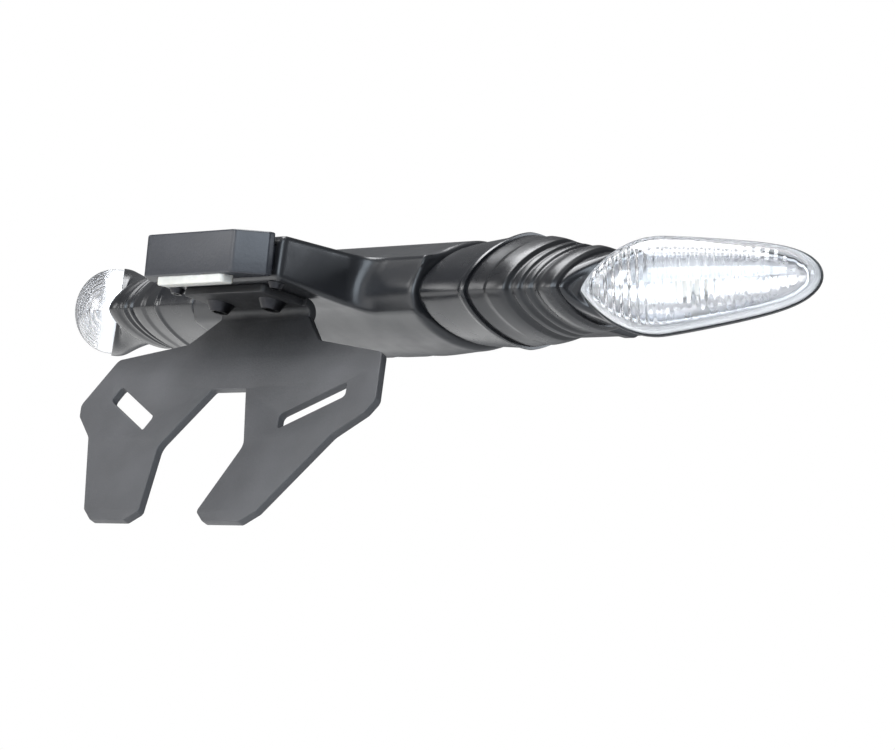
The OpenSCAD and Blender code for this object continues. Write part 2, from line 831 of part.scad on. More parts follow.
module indicator_housing(side) {
    color("#17181a") on_side(side) difference() {
        housing_form();
        at_lens() leaf_dome(-seat_gap, lens_bulge + 6, eps);
        at_lens() leaf_slab(-seat_gap, -eps, skirt);
        at_lens() leaf_dome(lens_wall + bowl_inset, -bowl_depth, skirt - 3 * eps);
        at_lens() translate([board_x, board_y / 2, 0])
            cube([board_l + bowl_gap, board_y + 2.4, board_w + bowl_gap], center = true);
        stud_way(boot_end - 2, boot_end + stud_out);
    }
}

module indicator_lens(side) {
    color("#e6e8ea", 0.5) on_side(side) at_lens() difference() {
        union() {
            leaf_dome(0, lens_bulge, eps);
            leaf_slab(0, 0, skirt);
        }
        leaf_dome(lens_wall, lens_bulge - lens_wall, eps);
        leaf_slab(lens_wall, -eps, skirt + 1);
    }
}

module indicator_reflector(side) {
    inner = lens_wall + bowl_inset + 0.2 + reflector_t;
    color("#d8dadd") on_side(side) at_lens() difference() {
        union() {
            leaf_dome(lens_wall + bowl_inset + 0.2, bowl_gap - bowl_depth, skirt - eps);
            leaf_slab(lens_wall + seat_gap, skirt - reflector_t, skirt);
        }
        leaf_dome(inner, bowl_gap + reflector_t - bowl_depth, skirt - 2 * eps);
        leaf_slab(inner, skirt - 2 * reflector_t, skirt);
        translate([board_x, skirt + bowl_depth, 0]) rotate([90, 0, 0])
            cylinder(r = lamp_r + bowl_gap, h = 2 * bowl_depth, center = true, $fn = round_fn);
    }
}

module indicator_board(side) {
    color("#c9862a") on_side(side) at_lens() {
        translate([board_x, board_y, 0]) cube([board_l, board_t, board_w], center = true);
        translate([board_x, skirt + bowl_depth, 0]) rotate([90, 0, 0])
            cylinder(r = lamp_r, h = 4, $fn = round_fn);
    }
}

carrier_body();
mounting_plate();
body_screws();
cable_grommet();
nose_cap();
cap_screws();
plate_light_lens();
plate_light_board();
hanger_plate();
hanger_screws();
hanger_nuts();
for (side = SIDES) {
    stem_gasket(side);
    stem_base(side);
    stem_boot(side);
    stem_stud(side);
    stem_washer(side);
    stem_nut(side);
    indicator_housing(side);
    indicator_reflector(side);
    indicator_board(side);
    indicator_lens(side);
}
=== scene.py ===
"""Looks of the tail tidy, with its shapes in millimetres about the carrier's axis as in the part's source."""

import math

import bmesh
import bpy
import numpy as np
from mathutils import Matrix, Vector


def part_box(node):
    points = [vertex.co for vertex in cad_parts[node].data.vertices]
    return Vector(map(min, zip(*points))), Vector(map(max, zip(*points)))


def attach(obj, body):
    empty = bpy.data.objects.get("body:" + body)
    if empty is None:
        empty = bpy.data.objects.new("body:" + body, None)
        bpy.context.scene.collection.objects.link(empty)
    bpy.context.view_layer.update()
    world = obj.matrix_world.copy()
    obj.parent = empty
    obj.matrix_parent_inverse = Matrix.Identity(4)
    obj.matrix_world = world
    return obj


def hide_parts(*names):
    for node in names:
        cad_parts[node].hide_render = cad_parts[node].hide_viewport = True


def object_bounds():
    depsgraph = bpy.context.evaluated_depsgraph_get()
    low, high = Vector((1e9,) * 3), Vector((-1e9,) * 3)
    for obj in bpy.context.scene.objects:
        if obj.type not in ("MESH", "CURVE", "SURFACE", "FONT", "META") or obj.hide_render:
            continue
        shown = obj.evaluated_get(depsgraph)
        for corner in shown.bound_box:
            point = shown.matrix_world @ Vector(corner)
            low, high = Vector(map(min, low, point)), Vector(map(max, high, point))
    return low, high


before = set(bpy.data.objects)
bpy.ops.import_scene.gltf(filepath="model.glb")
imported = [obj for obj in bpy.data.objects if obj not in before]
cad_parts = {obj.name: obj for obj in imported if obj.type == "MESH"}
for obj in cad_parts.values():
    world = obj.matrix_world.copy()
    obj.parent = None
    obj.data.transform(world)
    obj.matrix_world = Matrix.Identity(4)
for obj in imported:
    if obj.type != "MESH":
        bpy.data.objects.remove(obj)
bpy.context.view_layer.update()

MM = 0.001
TAIL_AHEAD = 56.0
PLATE_TOP = 8.6
AXIS_PLACE = Vector((0, -TAIL_AHEAD, -PLATE_TOP)) * MM

# Sizes in millimetres that agree with the part's source
HALF_W = 55.0
HALF_DEPTH = 27.3
CARRIER_TOP = 16.0
COLLAR_LOW = 16.6
BELLY_LOW = 17.6
OVAL_DROP = 0.8
DROOP = math.radians(10.3)
CARRIER_NOSE = 1.72
BELLY_RUN = 22.0
WALL = 3.0
ARM_W = 59.0
ARM_REACH = 56.8
ARM_TOP = 6.0
ARM_H = 13.4
ARM_FALL = math.radians(4.9)
FRONT_WALL_Y = 15.0
RECESS_HALF = HALF_W - 11
PLATE_T = 4.0
PLATE_W = 76.0
PLATE_REACH = 84.0
PLATE_LIP = 7.0
TAIL_PITCH = (56.0, 36.0)
TAIL_HOLE_D = 6.6
SCREW_D = 5.0
SCREW_GAP = 0.25
HEAD_RATIO = 0.85
BODY_SCREW_X = (14.0, 31.0)
BODY_SCREW_Y = 6.5
TONGUE_STEP = 0.6
TONGUE_REAR = -8.0
SLOT_GAP = 0.4
CAP_LEN = 9.6
CAP_GAP = 2.6
CAP_H = 12.8
CAP_FACE_W = 43.4
CAP_SIDE = 2.2
CAP_TILT = math.radians(3.3)
LIGHT_W = 33.0
LIGHT_D = 5.0
LIGHT_DROP = 2.5
LIGHT_SET = 0.9
HANGER_T = 2.5
HANGER_TILT = math.radians(21.4)
HANGER_W = 147.0
LEG_LEN = 56.0
NECK_W = 44.0
FLANGE_W = 40.0
FLANGE_LEN = 15.0
BEND_R = 2.0
SLOT_W = 5.4
GASKET_T = 1.2
BASE_LEN = 20.8
BOOT_LEN = 33.5
STEM_STEP = 1.3
COLLAR_NOSE = 1.68
RIDGE_NOSE = 1.54
LENS_H = 27.5
LENS_BULGE = 12.5
LENS_WALL = 2.0
LENS_SWEEP = math.radians(33.7)
LENS_RISE = math.radians(9.1)
LENS_INSET = 1.0
LEAF_PEAK = 0.33
SKIRT = 1.8
RIM_LIP = 0.6
LIP_H = 0.4
HOUSING_DEPTH = 13.0
SEAT_GAP = 0.15

# Sizes that differ from the source's, because forms blend into one another here or are drawn finer
ARM_FILLET = 9.0
FILLET_SET = 3.5
ARM_ROOT = -13.0
CAP_RIDGE_R = 3.2
LENS_LEN = 68.4
FACET_DEPTH = 0.03

BASE_START = HALF_W + GASKET_T
BASE_END = BASE_START + BASE_LEN
BOOT_END = BASE_END + BOOT_LEN

LENS_CENTRE = Vector((BOOT_END + LENS_LEN / 2 - LENS_INSET, 4.6, 1.05))
LENS_TURN = Matrix.Rotation(LENS_SWEEP, 3, "Z") @ Matrix.Rotation(-LENS_RISE, 3, "Y")


# Materials


class Surface:
    """A new material, with short ways to add what the surfaces of the part have in common."""

    def __init__(self, name):
        self.name = name
        self.mat = bpy.data.materials.new(name)
        self.mat.use_nodes = True
        self.nodes = self.mat.node_tree.nodes
        self.links = self.mat.node_tree.links
        self.bsdf = self.nodes["Principled BSDF"]

    def put(self, socket, value):
        self.bsdf.inputs[socket].default_value = value

    def feed(self, socket, value, low, high, start=0.3, end=0.7):
        """Lets a 0 to 1 value drive one input of the surface, from low to high."""
        self.links.new(self.ramp(value, low, high, start, end), self.bsdf.inputs[socket])

    def ramp(self, value, low, high, start, end):
        """Turns a 0 to 1 value into a colour or a number between low and high."""
        node = self.nodes.new("ShaderNodeValToRGB")
        self.links.new(value, node.inputs["Fac"])
        for stop, place, level in zip(node.color_ramp.elements, (start, end), (low, high)):
            stop.position = place
            stop.color = (*level, 1) if isinstance(level, tuple) else (level, level, level, 1)
        return node.outputs["Color"]

    def coords(self):
        return self.nodes.new("ShaderNodeTexCoord").outputs["Object"]

    def noise(self, grain_mm, detail, stretch=(1, 1, 1)):
        """Noise in the part's own frame whose features are about grain_mm across."""
        mapping = self.nodes.new("ShaderNodeMapping")
        mapping.inputs["Scale"].default_value = stretch
        noise = self.nodes.new("ShaderNodeTexNoise")
        noise.inputs["Scale"].default_value = 1 / (grain_mm * MM)
        noise.inputs["Detail"].default_value = detail
        self.links.new(self.coords(), mapping.inputs["Vector"])
        self.links.new(mapping.outputs["Vector"], noise.inputs["Vector"])
        return noise.outputs["Fac"]

    def bump(self, value, height_mm, strength=1.0, under=None):
        """Relief of the given height, over an earlier relief if there is one."""
        bump = self.nodes.new("ShaderNodeBump")
        bump.inputs["Distance"].default_value = height_mm * MM
        bump.inputs["Strength"].default_value = strength
        self.links.new(value, bump.inputs["Height"])
        if under is not None:
            self.links.new(under, bump.inputs["Normal"])
        self.links.new(bump.outputs["Normal"], self.bsdf.inputs["Normal"])
        return bump.outputs["Normal"]

    def position(self):
        """The three coordinates of the shaded point in the part's own frame."""
        split = self.nodes.new("ShaderNodeSeparateXYZ")
        self.links.new(self.coords(), split.inputs["Vector"])
        return split.outputs


def patchy(name, dark, light, rough, specular, patch_mm, smear_mm):
    """Opaque surface with patches of colour and smears of roughness."""
    surface = Surface(name)
    surface.feed("Base Color", surface.noise(patch_mm, detail=4), dark, light)
    surface.feed("Roughness", surface.noise(smear_mm, detail=5), *rough)
    surface.put("Specular IOR Level", specular)
    return surface


def textured(name, dark, light, rough, grain_mm, height_mm, specular=0.5):
    """Moulded plastic or rubber with a fine grained surface."""
    surface = patchy(name, dark, light, rough, specular, patch_mm=14, smear_mm=8.4)
    surface.bump(surface.noise(grain_mm, detail=2), height_mm)
    return surface


def powder_coat(name, dark, light, rough):
    """Powder-coated metal: orange peel over a fine sparkle of grain."""
    surface = patchy(name, dark, light, rough, specular=0.45, patch_mm=22, smear_mm=9)
    peel = surface.bump(surface.noise(0.9, detail=1), height_mm=0.05, strength=0.8)
    surface.bump(surface.noise(0.25, detail=2), height_mm=0.015, strength=0.8, under=peel)
    return surface


def coat_with_painted_shade(name, dark, light, rough):
    """Powder coat whose colour darkens to near black towards the neck: painted shade under the arm."""
    # Painted shade: from the lower height up to the higher one, the coat's colour runs to near black
    unshaded_z, painted_shade_z = -41 * MM, -29 * MM
    # A mix node has several sockets of each name, so these are addressed by number
    factor, grey, black, result = 0, 6, 7, 2
    surface = powder_coat(name, dark, light, rough)
    colour = surface.bsdf.inputs["Base Color"]
    coat_colour = colour.links[0].from_socket
    height = surface.nodes.new("ShaderNodeMapRange")
    height.inputs["From Min"].default_value = unshaded_z
    height.inputs["From Max"].default_value = painted_shade_z
    surface.links.new(surface.position()["Z"], height.inputs["Value"])
    mix_node = surface.nodes.new("ShaderNodeMix")
    mix_node.data_type = "RGBA"
    mix_node.clamp_factor = True
    surface.links.new(height.outputs["Result"], mix_node.inputs[factor])
    surface.links.new(coat_colour, mix_node.inputs[grey])
    # Near-black colour of the painted shade at the neck
    mix_node.inputs[black].default_value = (0.011, 0.011, 0.012, 1)
    surface.links.new(mix_node.outputs[result], colour)
    return surface


def steel(name, base, rough):
    """Plated steel with fine turning marks and slightly clouded plating."""
    surface = Surface(name)
    surface.put("Metallic", 1)
    cloud = surface.noise(1.6, detail=4)
    surface.feed("Base Color", cloud, tuple(0.72 * c for c in base), base)
    surface.feed("Roughness", cloud, rough[1], rough[0])
    surface.bump(surface.noise(0.3, detail=2, stretch=(1, 1, 6)), height_mm=0.01, strength=0.6)
    return surface


def chrome(name):
    """Bright vapour-plated plastic, slightly cloudy and wavy."""
    surface = Surface(name)
    surface.put("Metallic", 1)
    cloud = surface.noise(5, detail=3)
    surface.feed("Base Color", cloud, (0.56, 0.565, 0.58), (0.7, 0.7, 0.71))
    surface.feed("Roughness", cloud, 0.2, 0.34)
    surface.bump(surface.noise(1.2, detail=1), height_mm=0.02, strength=0.5)
    return surface


def clear_lens(name):
    """Clear plastic with a little haze, which turns milky towards its rim."""
    surface = Surface(name)
    surface.put("Transmission Weight", 1)
    surface.put("IOR", 1.5)
    surface.feed("Base Color", surface.noise(12, detail=2), (0.95, 0.96, 0.975), (0.99, 0.99, 1.0))
    surface.feed("Roughness", surface.noise(2.5, detail=5), 0.04, 0.09)
    surface.bump(surface.noise(3.0, detail=1), height_mm=0.01, strength=0.4)
    surface.feed("Transmission Weight", depth_behind_lens(surface), 1.0, 0.25, start=0.22, end=0.42)
    return surface


def depth_behind_lens(surface, reach_mm=8):
    """Place along the lens's own depth, from 0 at reach_mm in front of its rim to 1 at reach_mm behind."""
    out = LENS_TURN @ Vector((0, 1, 0))
    base = out.dot(LENS_CENTRE * MM + AXIS_PLACE)
    span = 2 * reach_mm * MM
    position = surface.position()
    total = None
    for axis, share in zip("XYZ", out):
        value = position[axis]
        if axis == "X":
            side = surface.nodes.new("ShaderNodeMath")
            side.operation = "ABSOLUTE"
            surface.links.new(value, side.inputs[0])
            value = side.outputs["Value"]
        step = surface.nodes.new("ShaderNodeMath")
        step.operation = "MULTIPLY_ADD"
        surface.links.new(value, step.inputs[0])
        step.inputs[1].default_value = share / span
        if total is None:
            step.inputs[2].default_value = 0.5 - base / span
        else:
            surface.links.new(total, step.inputs[2])
        total = step.outputs["Value"]
    return total


def frosted_lens(name):
    """Milky plastic that light spreads in."""
    surface = Surface(name)
    cloud = surface.noise(5, detail=3)
    surface.feed("Base Color", cloud, (0.46, 0.455, 0.42), (0.56, 0.55, 0.515))
    surface.feed("Roughness", cloud, 0.28, 0.4)
    surface.put("Subsurface Weight", 0.4)
    surface.put("Subsurface Radius", (1, 0.9, 0.7))
    surface.put("Subsurface Scale", 2 * MM)
    surface.bump(surface.noise(0.8, detail=1), height_mm=0.02, strength=0.5)
    return surface


# Each has its dark and light colour and its range of roughness; textured ones end with the grain's size
# and height in millimetres. They are keyed by the wanted names, because the CAD frame has some of these.
MATERIALS = {surface.name: surface.mat for surface in (
    textured("body_moulding", (0.0085, 0.009, 0.0105), (0.013, 0.0135, 0.0155), (0.3, 0.4), 0.5, 0.014),
    textured("stem_plastic", (0.006, 0.0062, 0.0075), (0.0095, 0.0098, 0.0115), (0.2, 0.3), 0.6, 0.01),
    textured("boot_rubber", (0.0065, 0.0065, 0.0075), (0.011, 0.011, 0.012), (0.24, 0.36), 0.35, 0.014),
    textured("rubber", (0.004, 0.004, 0.0045), (0.008, 0.008, 0.0085), (0.6, 0.75), 0.4, 0.03, specular=0.25),
    textured("circuit_board", (0.02, 0.12, 0.05), (0.03, 0.18, 0.08), (0.35, 0.5), 0.8, 0.02),
    textured("indicator_lamp", (0.62, 0.6, 0.54), (0.78, 0.76, 0.7), (0.25, 0.4), 0.8, 0.01),
    powder_coat("bracket_black", (0.012, 0.012, 0.013), (0.018, 0.018, 0.02), (0.42, 0.52)),
    powder_coat("cap_moulding", (0.013, 0.0145, 0.019), (0.019, 0.021, 0.027), (0.34, 0.42)),
    # The hanger's coat, with painted shade at its neck under the arm
    coat_with_painted_shade("hanger_black", (0.04, 0.04, 0.042), (0.054, 0.054, 0.057), (0.5, 0.62)),
    steel("fastener_steel", (0.56, 0.56, 0.58), (0.24, 0.4)),
    steel("fastener_black", (0.035, 0.035, 0.038), (0.3, 0.45)),
    chrome("reflector_chrome"),
    frosted_lens("frosted_lens"),
    clear_lens("clear_lens"),
)}


# Mesh helpers


def new_object(name, data):
    obj = bpy.data.objects.new(name, data)
    bpy.context.scene.collection.objects.link(obj)
    return obj


def to_part(x, y, z):
    """Place in the part's own frame, in metres, of a point in millimetres about the carrier's axis."""
    return AXIS_PLACE + Vector((x, y, z)) * MM


def piece(name, points, faces, slot, replaces, sharp_deg=None):
    """New piece from points in millimetres about the carrier's axis, flat-shaded if it has no angle."""
    mesh = bpy.data.meshes.new(name)
    mesh.from_pydata([to_part(*p) for p in points], [], faces)
    obj = new_object(name, mesh)
    dress(obj, slot, replaces, sharp_deg)
    return obj


def dress(obj, slot, replaces, sharp_deg):
    """Gives a piece its material, its shading and its place in the CAD frame."""
    mesh = obj.data
    mesh.materials.clear()
    mesh.materials.append(MATERIALS[slot])
    work = bmesh.new()
    work.from_mesh(mesh)
    bmesh.ops.recalc_face_normals(work, faces=work.faces)
    work.to_mesh(mesh)
    work.free()
    if sharp_deg is not None:
        shade(mesh, sharp_deg)
    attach(obj, "root")
    if replaces:
        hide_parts(*replaces)


def shade(mesh, sharp_deg):
    mesh.shade_smooth()
    mesh.set_sharp_from_angle(angle=math.radians(sharp_deg))


def evaluated_mesh(obj):
    bpy.context.view_layer.update()
    return bpy.data.meshes.new_from_object(obj.evaluated_get(bpy.context.evaluated_depsgraph_get()))


def apply_modifiers(obj):
    shaped = evaluated_mesh(obj)
    old = obj.data
    obj.modifiers.clear()
    obj.data = shaped
    bpy.data.meshes.remove(old)


def bevelled(name, points, faces, slot, replaces, width):
    """Piece with flat faces whose edges are rounded over the given width."""
    obj = piece(name, points, faces, slot, replaces)
    bevel = obj.modifiers.new("edges", "BEVEL")
    bevel.width = width * MM
    bevel.segments = 3
    bevel.limit_method = "ANGLE"
    bevel.angle_limit = math.radians(20)
    apply_modifiers(obj)
    shade(obj.data, 32)


def rounded(corners, step_deg=8):
    """Outline through (x, y, radius) corners, with each corner turned into an arc."""
    longest_share = 0.49
    points = []
    count = len(corners)
    for i, (x, y, radius) in enumerate(corners):
        q = Vector((x, y))
        p = Vector(corners[i - 1][:2])
        r = Vector(corners[(i + 1) % count][:2])
        if radius <= 0:
            points.append(q)
            continue
        u, v = (p - q).normalized(), (r - q).normalized()
        half = u.angle(v) / 2
        reach = min(radius / math.tan(half), longest_share * (p - q).length, longest_share * (r - q).length)
        centre = q + (u + v).normalized() * (reach / math.cos(half))
        start = q + u * reach - centre
        sweep = start.angle_signed(q + v * reach - centre)
        steps = max(3, math.ceil(abs(math.degrees(sweep)) / step_deg))
        for k in range(steps + 1):
            points.append(centre + Matrix.Rotation(-sweep * k / steps, 2) @ start)
    return points


def mirror_outline(right):
    return right + [(-x, y, r) for x, y, r in reversed(right)]


def circle(x, y, radius, steps=40):
    turns = [2 * math.pi * k / steps for k in range(steps)]
    return [(x + radius * math.cos(a), y + radius * math.sin(a)) for a in turns]


def loft(rings):
    """Points and faces of a solid through rings that all have the same number of points."""
    count = len(rings[0])
    faces = []
    for j in range(len(rings) - 1):
        for i in range(count):
            a = j * count + i
            b = j * count + (i + 1) % count
            faces.append((a, b, b + count, a + count))
    last = (len(rings) - 1) * count
    faces.append(tuple(range(count)))
    faces.append(tuple(last + i for i in reversed(range(count))))
    return [p for ring in rings for p in ring], faces


def prism(outline, low, high, point):
    """Points and faces of an upright prism, with each point placed by point(x, y, z)."""
    return loft([[point(x, y, z) for x, y in outline] for z in (low, high)])


def join_loops(a, b):
    """Faces between two closed loops of as many points."""
    count = len(a)
    return [(a[i], a[(i + 1) % count], b[(i + 1) % count], b[i]) for i in range(count)]


def mirrored_pair(name, points, faces, slot, sharp_deg):
    """The right-hand piece and its mirror image on the left, each for its own CAD node."""
    for side, sign in (("right", 1), ("left", -1)):
        shown = [(sign * x, y, z) for x, y, z in points]
        node = f"{name}_{side}"
        piece(f"{node}_shape", shown, faces, slot, (node,), sharp_deg)


# Carrier body: one blended form, found as the zero surface of a distance field

# Lengths over which its surfaces run into one another
COLLAR_ROUND = 2.8
ARM_END_ROUND = 2.4
ARM_EDGE_ROUND = 1.5
ARM_JOIN = 4.0
RECESS_ROUND = 1.2
CRISP = 0.6

# How far its openings reach in from the arm's end, the front wall and the lowest point
CHANNEL_LEN = 6.0
SLOT_DEPTH = 6.0
SCREW_WELL = 8.0


def ease(t):
    t = np.clip(t, 0, 1)
    return t * t * (3 - 2 * t)


def blend_min(a, b, run):
    mixed = np.maximum(run - np.abs(a - b), 0) / run
    return np.minimum(a, b) - mixed * mixed * run / 4


def blend_max(a, b, run):
    return -blend_min(-a, -b, run)


def oval_distance(x, y, z):
    """Distance to the drooping oval tube, whose underside swells between the collars."""
    tiny, least_slope = 1e-6, 1e-4
    low = COLLAR_LOW + (BELLY_LOW - COLLAR_LOW) * ease((HALF_W - np.abs(x)) / BELLY_RUN)
    c, s = math.cos(DROOP), math.sin(DROOP)
    up = z + OVAL_DROP
    along, over = y * c + up * s, up * c - y * s
    height = np.where(over > 0, CARRIER_TOP, low)
    u, v = np.abs(along) / HALF_DEPTH + tiny, np.abs(over) / height + tiny
    power = CARRIER_NOSE
    level = u ** power + v ** power
    radius = level ** (1 / power)
    slope = np.hypot(u ** (power - 1) / HALF_DEPTH, v ** (power - 1) / height) * level ** (1 / power - 1)
    return (radius - 1) / np.maximum(slope, least_slope)


def arm_low(y):
    return ARM_TOP - ARM_H - (y + ARM_REACH) * math.tan(ARM_FALL)


def arm_side_distance(x, y):
    """Distance to the arm's side, which is straight and then turns outwards round its fillet."""
    half, radius = ARM_W / 2, ARM_FILLET
    start = -HALF_DEPTH + FILLET_SET - radius
    wide = np.abs(x)
    turned = radius - np.hypot(wide - half - radius, y - start)
    return np.where(y < start, wide - half, np.where(wide < half + radius, turned, start + radius - y))


def carrier_field(x, y, z):
    """Distance to the carrier's surface, less than 0 inside."""
    wide = np.abs(x)
    tube = blend_max(oval_distance(x, y, z), wide - HALF_W, COLLAR_ROUND)
    upright = np.maximum(z - ARM_TOP, arm_low(y) - z)
    along = blend_max(-ARM_REACH - y, y - ARM_ROOT, ARM_EDGE_ROUND)
    arm = blend_max(blend_max(arm_side_distance(x, y), upright, ARM_EDGE_ROUND), along, ARM_END_ROUND)
    body = np.maximum(blend_min(tube, arm, ARM_JOIN), wide - HALF_W)
    recess = np.maximum(FRONT_WALL_Y - y, wide - RECESS_HALF)
    body = blend_max(body, -recess, RECESS_ROUND)
    channel = np.maximum(wide - ARM_W / 2 + WALL, y + ARM_REACH - CHANNEL_LEN)
    channel = np.maximum(channel, np.maximum(z - ARM_TOP + WALL, arm_low(y) + WALL - z))
    body = blend_max(body, -channel, CRISP)
    middle = PLATE_TOP - (PLATE_T + TONGUE_STEP) / 2
    slot = np.maximum(wide - PLATE_W / 2 - SLOT_GAP, FRONT_WALL_Y - SLOT_DEPTH - y)
    slot = np.maximum(slot, np.abs(z - middle) - (PLATE_T - TONGUE_STEP) / 2 - SLOT_GAP)
    body = blend_max(body, -slot, CRISP)
    for place in BODY_SCREW_X:
        well = np.hypot(wide - place, y - BODY_SCREW_Y) - HEAD_RATIO * SCREW_D - SCREW_GAP
        well = np.maximum(well, z + BELLY_LOW - SCREW_WELL)
        body = blend_max(body, -well, CRISP)
    return body


def net_points(value, low, step):
    """Points of a surface net, one in each cell that the zero level passes, and the cells' point numbers."""
    inside = value < 0
    corners = [(i, j, k) for i in (0, 1) for j in (0, 1) for k in (0, 1)]

    def cell(array, corner):
        return array[tuple(slice(c, n - 1 + c) for c, n in zip(corner, array.shape))]

    count = sum(cell(inside, c).astype(int) for c in corners)
    mixed = (count > 0) & (count < len(corners))
    total = np.zeros(mixed.shape + (3,))
    hits = np.zeros(mixed.shape)
    for a in corners:
        for axis in range(3):
            if a[axis]:
                continue
            b = tuple(1 if n == axis else c for n, c in enumerate(a))
            va, vb = cell(value, a), cell(value, b)
            cut = (va < 0) != (vb < 0)
            share = np.where(cut, va / np.where(cut, va - vb, 1), 0)
            for n in range(3):
                place = a[n] + (share if n == axis else 0)
                total[..., n] += np.where(cut, place, 0)
            hits += cut
    index = -np.ones(mixed.shape, dtype=int)
    index[mixed] = np.arange(mixed.sum())
    points = (np.argwhere(mixed) + total[mixed] / hits[mixed][:, None]) * step + np.array(low)
    return points, index


def net_faces(value, index):
    """Faces of a surface net, one across each grid edge that the zero level cuts."""
    inside = value < 0
    faces = []
    for axis in range(3):
        u, v = [n for n in range(3) if n != axis]
        here = inside[tuple(slice(0, -1) if n == axis else slice(1, -1) for n in range(3))]
        there = inside[tuple(slice(1, None) if n == axis else slice(1, -1) for n in range(3))]
        for flip, cut in ((False, here & ~there), (True, ~here & there)):
            cells = np.argwhere(cut)
            ring = []
            for du, dv in ((1, 1), (0, 1), (0, 0), (1, 0)):
                at = cells.copy()
                at[:, u] += du
                at[:, v] += dv
                ring.append(index[at[:, 0], at[:, 1], at[:, 2]])
            quads = np.stack(ring[::-1] if flip else ring, 1)
            faces.extend(map(tuple, quads[(quads >= 0).all(1)].tolist()))
    return faces


def draw_onto(field, points, step, rounds=4, nudge=0.02, least_slope=0.2):
    """Moves points along the field's slope onto its zero level."""
    furthest = 0.4 * step
    for _ in range(rounds):
        base = field(*points.T)
        slope = np.stack([
            (field(*(points + nudge * axis).T) - field(*(points - nudge * axis).T)) / (2 * nudge)
            for axis in np.eye(3)
        ], 1)
        size = np.maximum((slope ** 2).sum(1), least_slope)
        points = points - np.clip((base / size)[:, None] * slope, -furthest, furthest)
    return points


def zero_surface(field, low, high, step):
    """Surface net of the field's zero level, with its points drawn onto the true surface."""
    axes = [np.arange(lo, hi + step, step) for lo, hi in zip(low, high)]
    value = field(*np.meshgrid(*axes, indexing="ij"))
    points, index = net_points(value, low, step)
    return draw_onto(field, points, step).tolist(), net_faces(value, index)


def make_carrier():
    margin, step = 1.0, 0.8
    low = (-HALF_W - margin, -ARM_REACH - margin, -BELLY_LOW - OVAL_DROP - margin)
    high = (HALF_W + margin, HALF_DEPTH + margin, CARRIER_TOP + margin)
    points, faces = zero_surface(carrier_field, low, high, step)
    piece("carrier_body_shape", points, faces, "body_moulding", ("carrier_body",), sharp_deg=60)


# Nose cap and its light


def cap_point(x, y, z):
    """Point of the nose cap's own tilted frame, about the carrier's axis."""
    c, s = math.cos(CAP_TILT), math.sin(CAP_TILT)
    return (x, -ARM_REACH - CAP_GAP + c * y - s * z, ARM_TOP + s * y + c * z)


def make_nose_cap():
    half, face, side_r = ARM_W / 2, CAP_FACE_W / 2, 0.8
    outline = rounded([
        (-half, 0, 0), (-half, -CAP_SIDE, side_r), (-face, -CAP_LEN, CAP_RIDGE_R),
        (face, -CAP_LEN, CAP_RIDGE_R), (half, -CAP_SIDE, side_r), (half, 0, 0),
    ])
    points, faces = prism(outline, -CAP_H, 0, cap_point)
    bevelled("nose_cap_shape", points, faces, "cap_moulding", ("nose_cap",), width=0.6)


def make_cap_plug():
    """Plug of the nose cap, which closes the end of the arm's channel."""
    into_cap, into_arm = 2, 4
    half = ARM_W / 2 - WALL - SEAT_GAP
    low, high = arm_low(-ARM_REACH) + WALL + SEAT_GAP, ARM_TOP - WALL - SEAT_GAP
    rear, front = -ARM_REACH - CAP_GAP - into_cap, -ARM_REACH + into_arm
    outline = [(-half, rear), (half, rear), (half, front), (-half, front)]
    points, faces = prism(outline, low, high, lambda x, y, z: (x, y, z))
    bevelled("nose_cap_plug", points, faces, "cap_moulding", (), width=0.3)


def make_plate_light():
    half, corner_r, into_cap = LIGHT_W / 2, 1.5, 0.5
    rear = -CAP_LEN + LIGHT_SET
    outline = rounded([
        (-half, rear, corner_r), (half, rear, corner_r),
        (half, rear + LIGHT_D, corner_r), (-half, rear + LIGHT_D, corner_r),
    ])
    points, faces = prism(outline, -CAP_H - LIGHT_DROP, -CAP_H + into_cap, cap_point)
    bevelled("plate_light_lens_shape", points, faces, "frosted_lens", ("plate_light_lens",), width=0.6)


# Sheet pieces: flat blanks that are folded round their bends

SHEET_SHARP_DEG = 32
PLATE_BEND_R = 1.0

# The hanger's outline is drawn with u across and v down its face from the reference line
HANGER_REF = (-43.2, -27.6)
HALF_HANGER = HANGER_W / 2
LEG_SIDE = HALF_HANGER - 12.5
SLOT_OUT = (HALF_HANGER - 18.4, 12.4)
SLOT_IN = (HALF_HANGER - 38.2, 21.1)
SLOT_CORNER_R = 1.2


def blank(outline, holes, thickness, edge):
    """Flat sheet with rounded edges as a mesh: outline and holes in millimetres, inner face at z = 0."""
    curve = bpy.data.curves.new("blank", "CURVE")
    curve.dimensions = "2D"
    curve.fill_mode = "BOTH"
    curve.extrude = thickness / 2 - edge
    curve.bevel_depth = edge
    curve.bevel_resolution = 2
    curve.offset = -edge
    for loop in [outline] + holes:
        spline = curve.splines.new("POLY")
        spline.points.add(len(loop) - 1)
        for point, (x, y) in zip(spline.points, loop):
            point.co = (x, y, 0, 1)
        spline.use_cyclic_u = True
    holder = new_object("blank", curve)
    mesh = evaluated_mesh(holder)
    bpy.data.objects.remove(holder)
    bpy.data.curves.remove(curve)
    for vertex in mesh.vertices:
        vertex.co.z += thickness / 2
    return mesh


def cut_across(mesh, axis, places):
    """Cuts the sheet along lines at the given places of one axis, so that it can bend there."""
    work = bmesh.new()
    work.from_mesh(mesh)
    bmesh.ops.remove_doubles(work, verts=work.verts, dist=1e-4)
    direction = Vector([1 if n == axis else 0 for n in range(3)])
    for place in places:
        parts = work.verts[:] + work.edges[:] + work.faces[:]
        bmesh.ops.bisect_plane(work, geom=parts, plane_co=direction * place, plane_no=direction)
    work.to_mesh(mesh)
    work.free()


